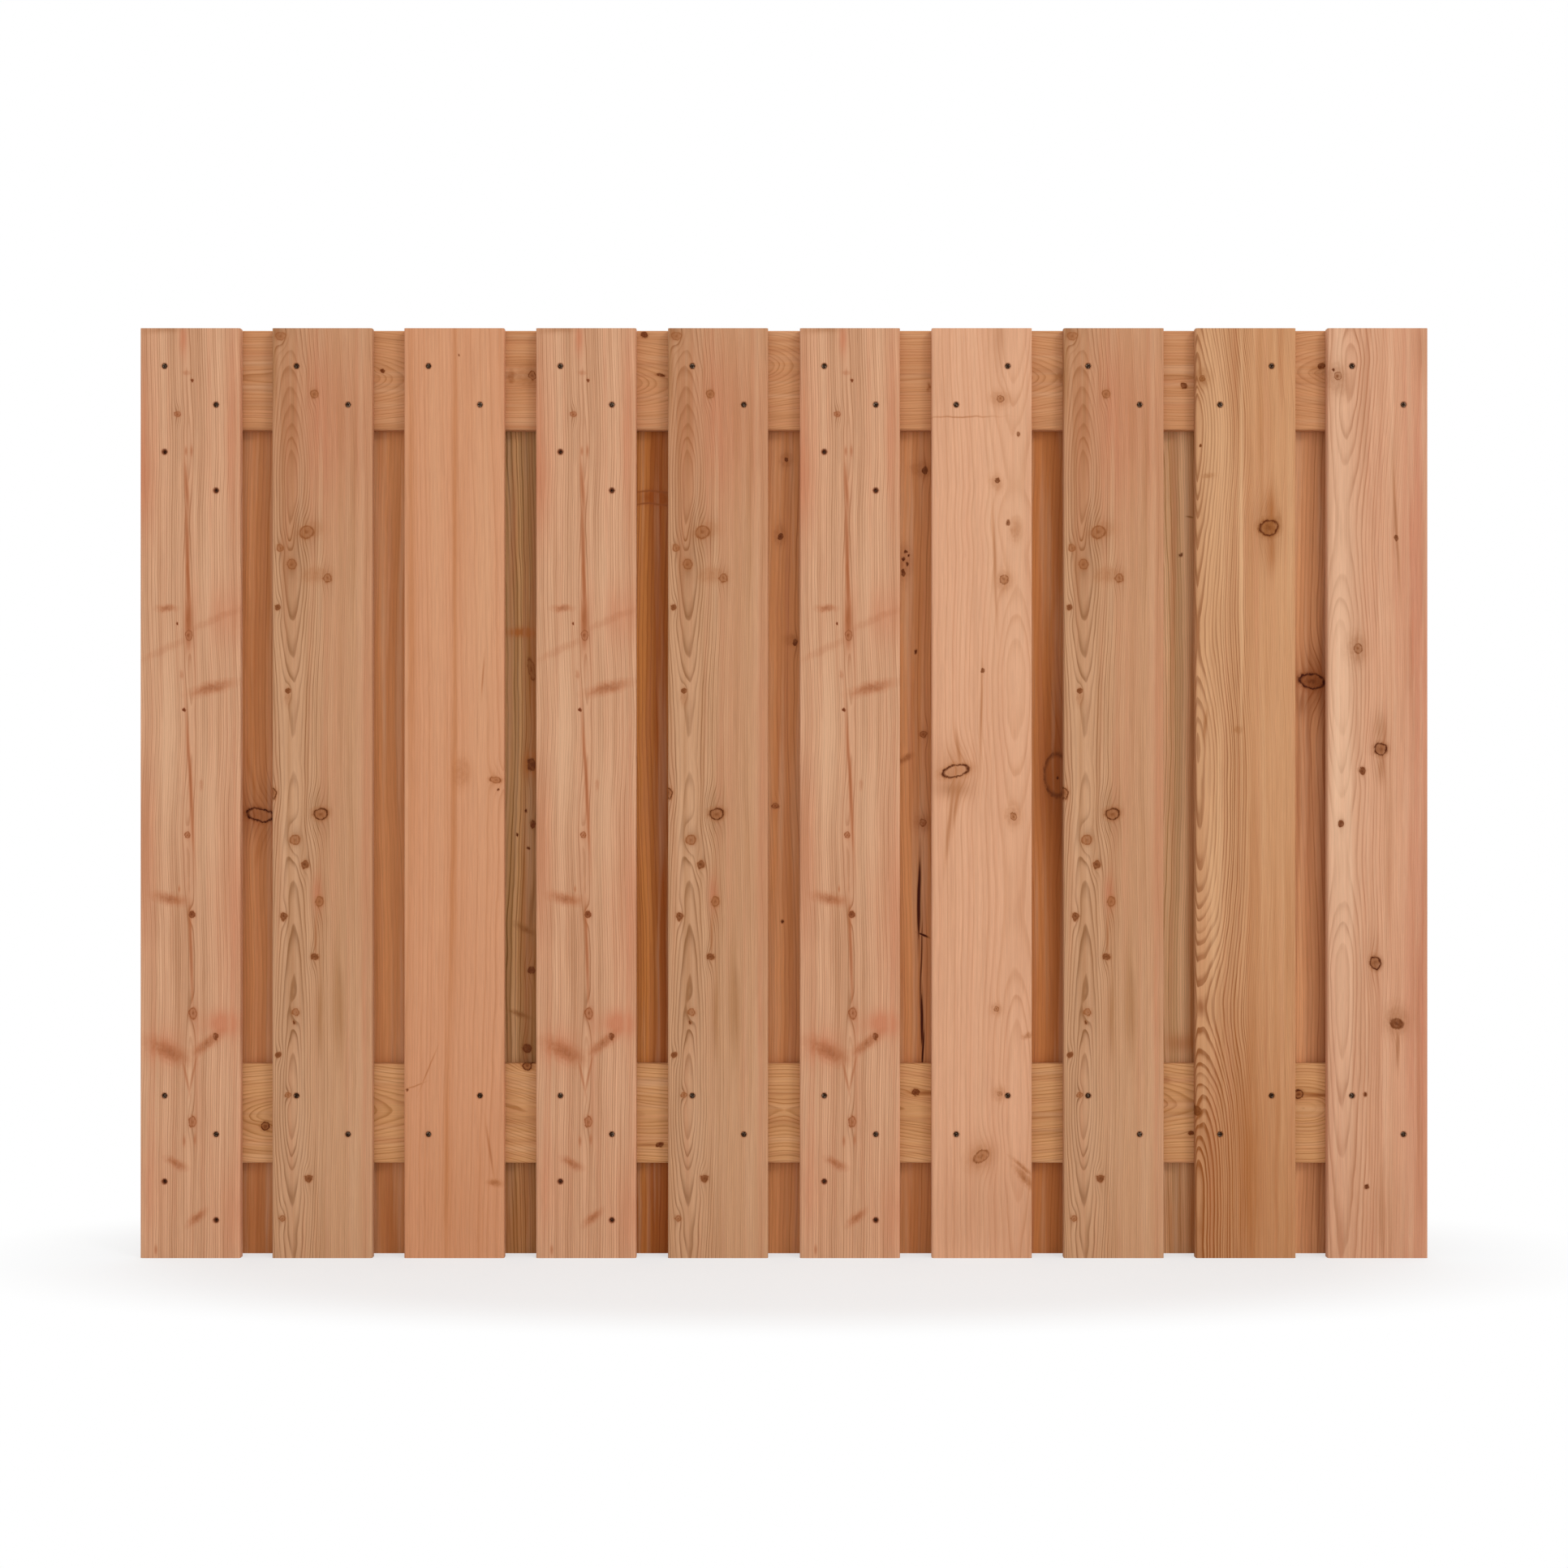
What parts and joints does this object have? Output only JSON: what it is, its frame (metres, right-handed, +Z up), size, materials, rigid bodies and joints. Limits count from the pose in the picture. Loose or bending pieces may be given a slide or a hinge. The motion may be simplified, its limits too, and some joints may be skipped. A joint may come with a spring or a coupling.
{
  "type": "wooden fence panel",
  "caption": "Closed hit-and-miss timber fence panel: upright planed boards screwed to both faces of two lying rails, the back row covering the gaps of the front row.",
  "frame": {"origin": "on the ground, under the middle of the panel's width and thickness", "axes": "+X along the panel to the viewer's right, +Y from the front to the back, +Z up"},
  "size_m": [1.8, 0.048, 1.3],
  "materials": {
    "pink_larch": "matte",
    "tan_larch": "matte",
    "orange_larch": "matte",
    "pale_larch": "matte",
    "honey_larch": "matte",
    "rose_larch": "matte",
    "red_brown_larch": "matte",
    "rail_larch": "matte",
    "screw_steel": "satin"
  },
  "bodies": {
    "root": {"front_board_01": "pink_larch", "front_board_02": "tan_larch", "front_board_03": "orange_larch", "front_board_04": "pink_larch", "front_board_05": "tan_larch", "front_board_06": "pink_larch", "front_board_07": "pale_larch", "front_board_08": "tan_larch", "front_board_09": "honey_larch", "front_board_10": "rose_larch", "back_board_01": "red_brown_larch", "back_board_02": "red_brown_larch", "back_board_03": "red_brown_larch", "back_board_04": "red_brown_larch", "back_board_05": "red_brown_larch", "back_board_06": "red_brown_larch", "back_board_07": "red_brown_larch", "back_board_08": "red_brown_larch", "back_board_09": "red_brown_larch", "top_rail": "rail_larch", "bottom_rail": "rail_larch", "front_top_screws": "screw_steel", "front_bottom_screws": "screw_steel", "back_top_screws": "screw_steel", "back_bottom_screws": "screw_steel"}
  },
  "joints": []
}
